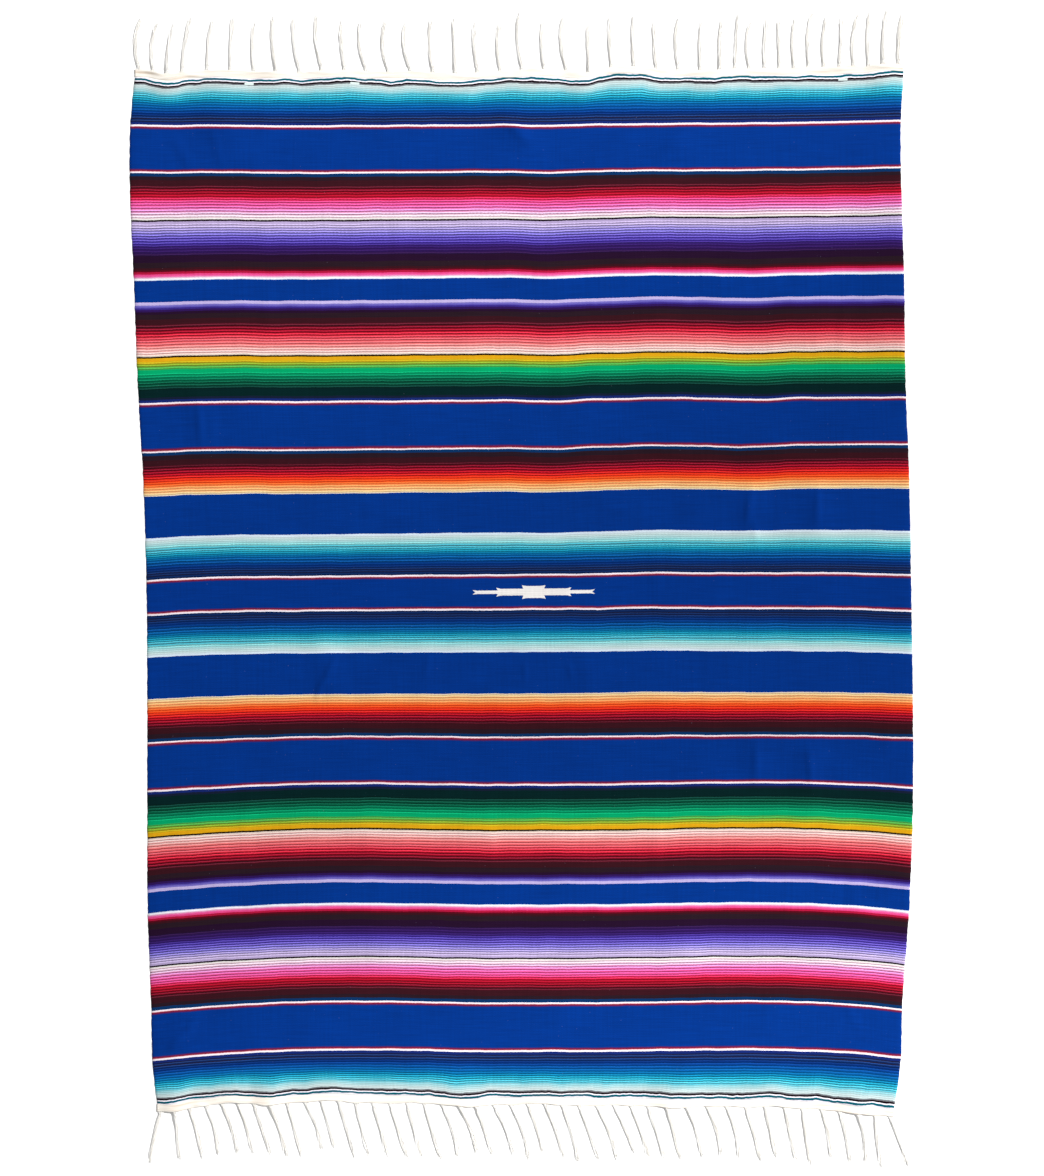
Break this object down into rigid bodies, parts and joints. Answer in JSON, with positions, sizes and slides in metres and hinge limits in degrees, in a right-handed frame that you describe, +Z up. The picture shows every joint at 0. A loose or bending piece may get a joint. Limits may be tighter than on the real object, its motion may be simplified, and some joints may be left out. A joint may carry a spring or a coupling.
{
  "type": "striped serape blanket",
  "caption": "Weft-striped woven serape laid flat, with a cotton heading and loose warp fringe at each end.",
  "frame": {"origin": "on the floor under the middle of the whole piece, fringe included", "axes": "+Z up from the floor, +Y along the warp towards the far fringe, +X across the cloth to the right"},
  "size_m": [1.5544, 2.3108, 0.0078],
  "materials": {
    "striped_weft": "weft-faced plain weave with a soft low sheen, royal blue ground with shaded stripes",
    "ivory_cotton": "matt undyed cotton yarn"
  },
  "bodies": {
    "root": {"woven_panel": "striped_weft", "heading_fringe_far": "ivory_cotton", "heading_fringe_near": "ivory_cotton"}
  },
  "joints": []
}
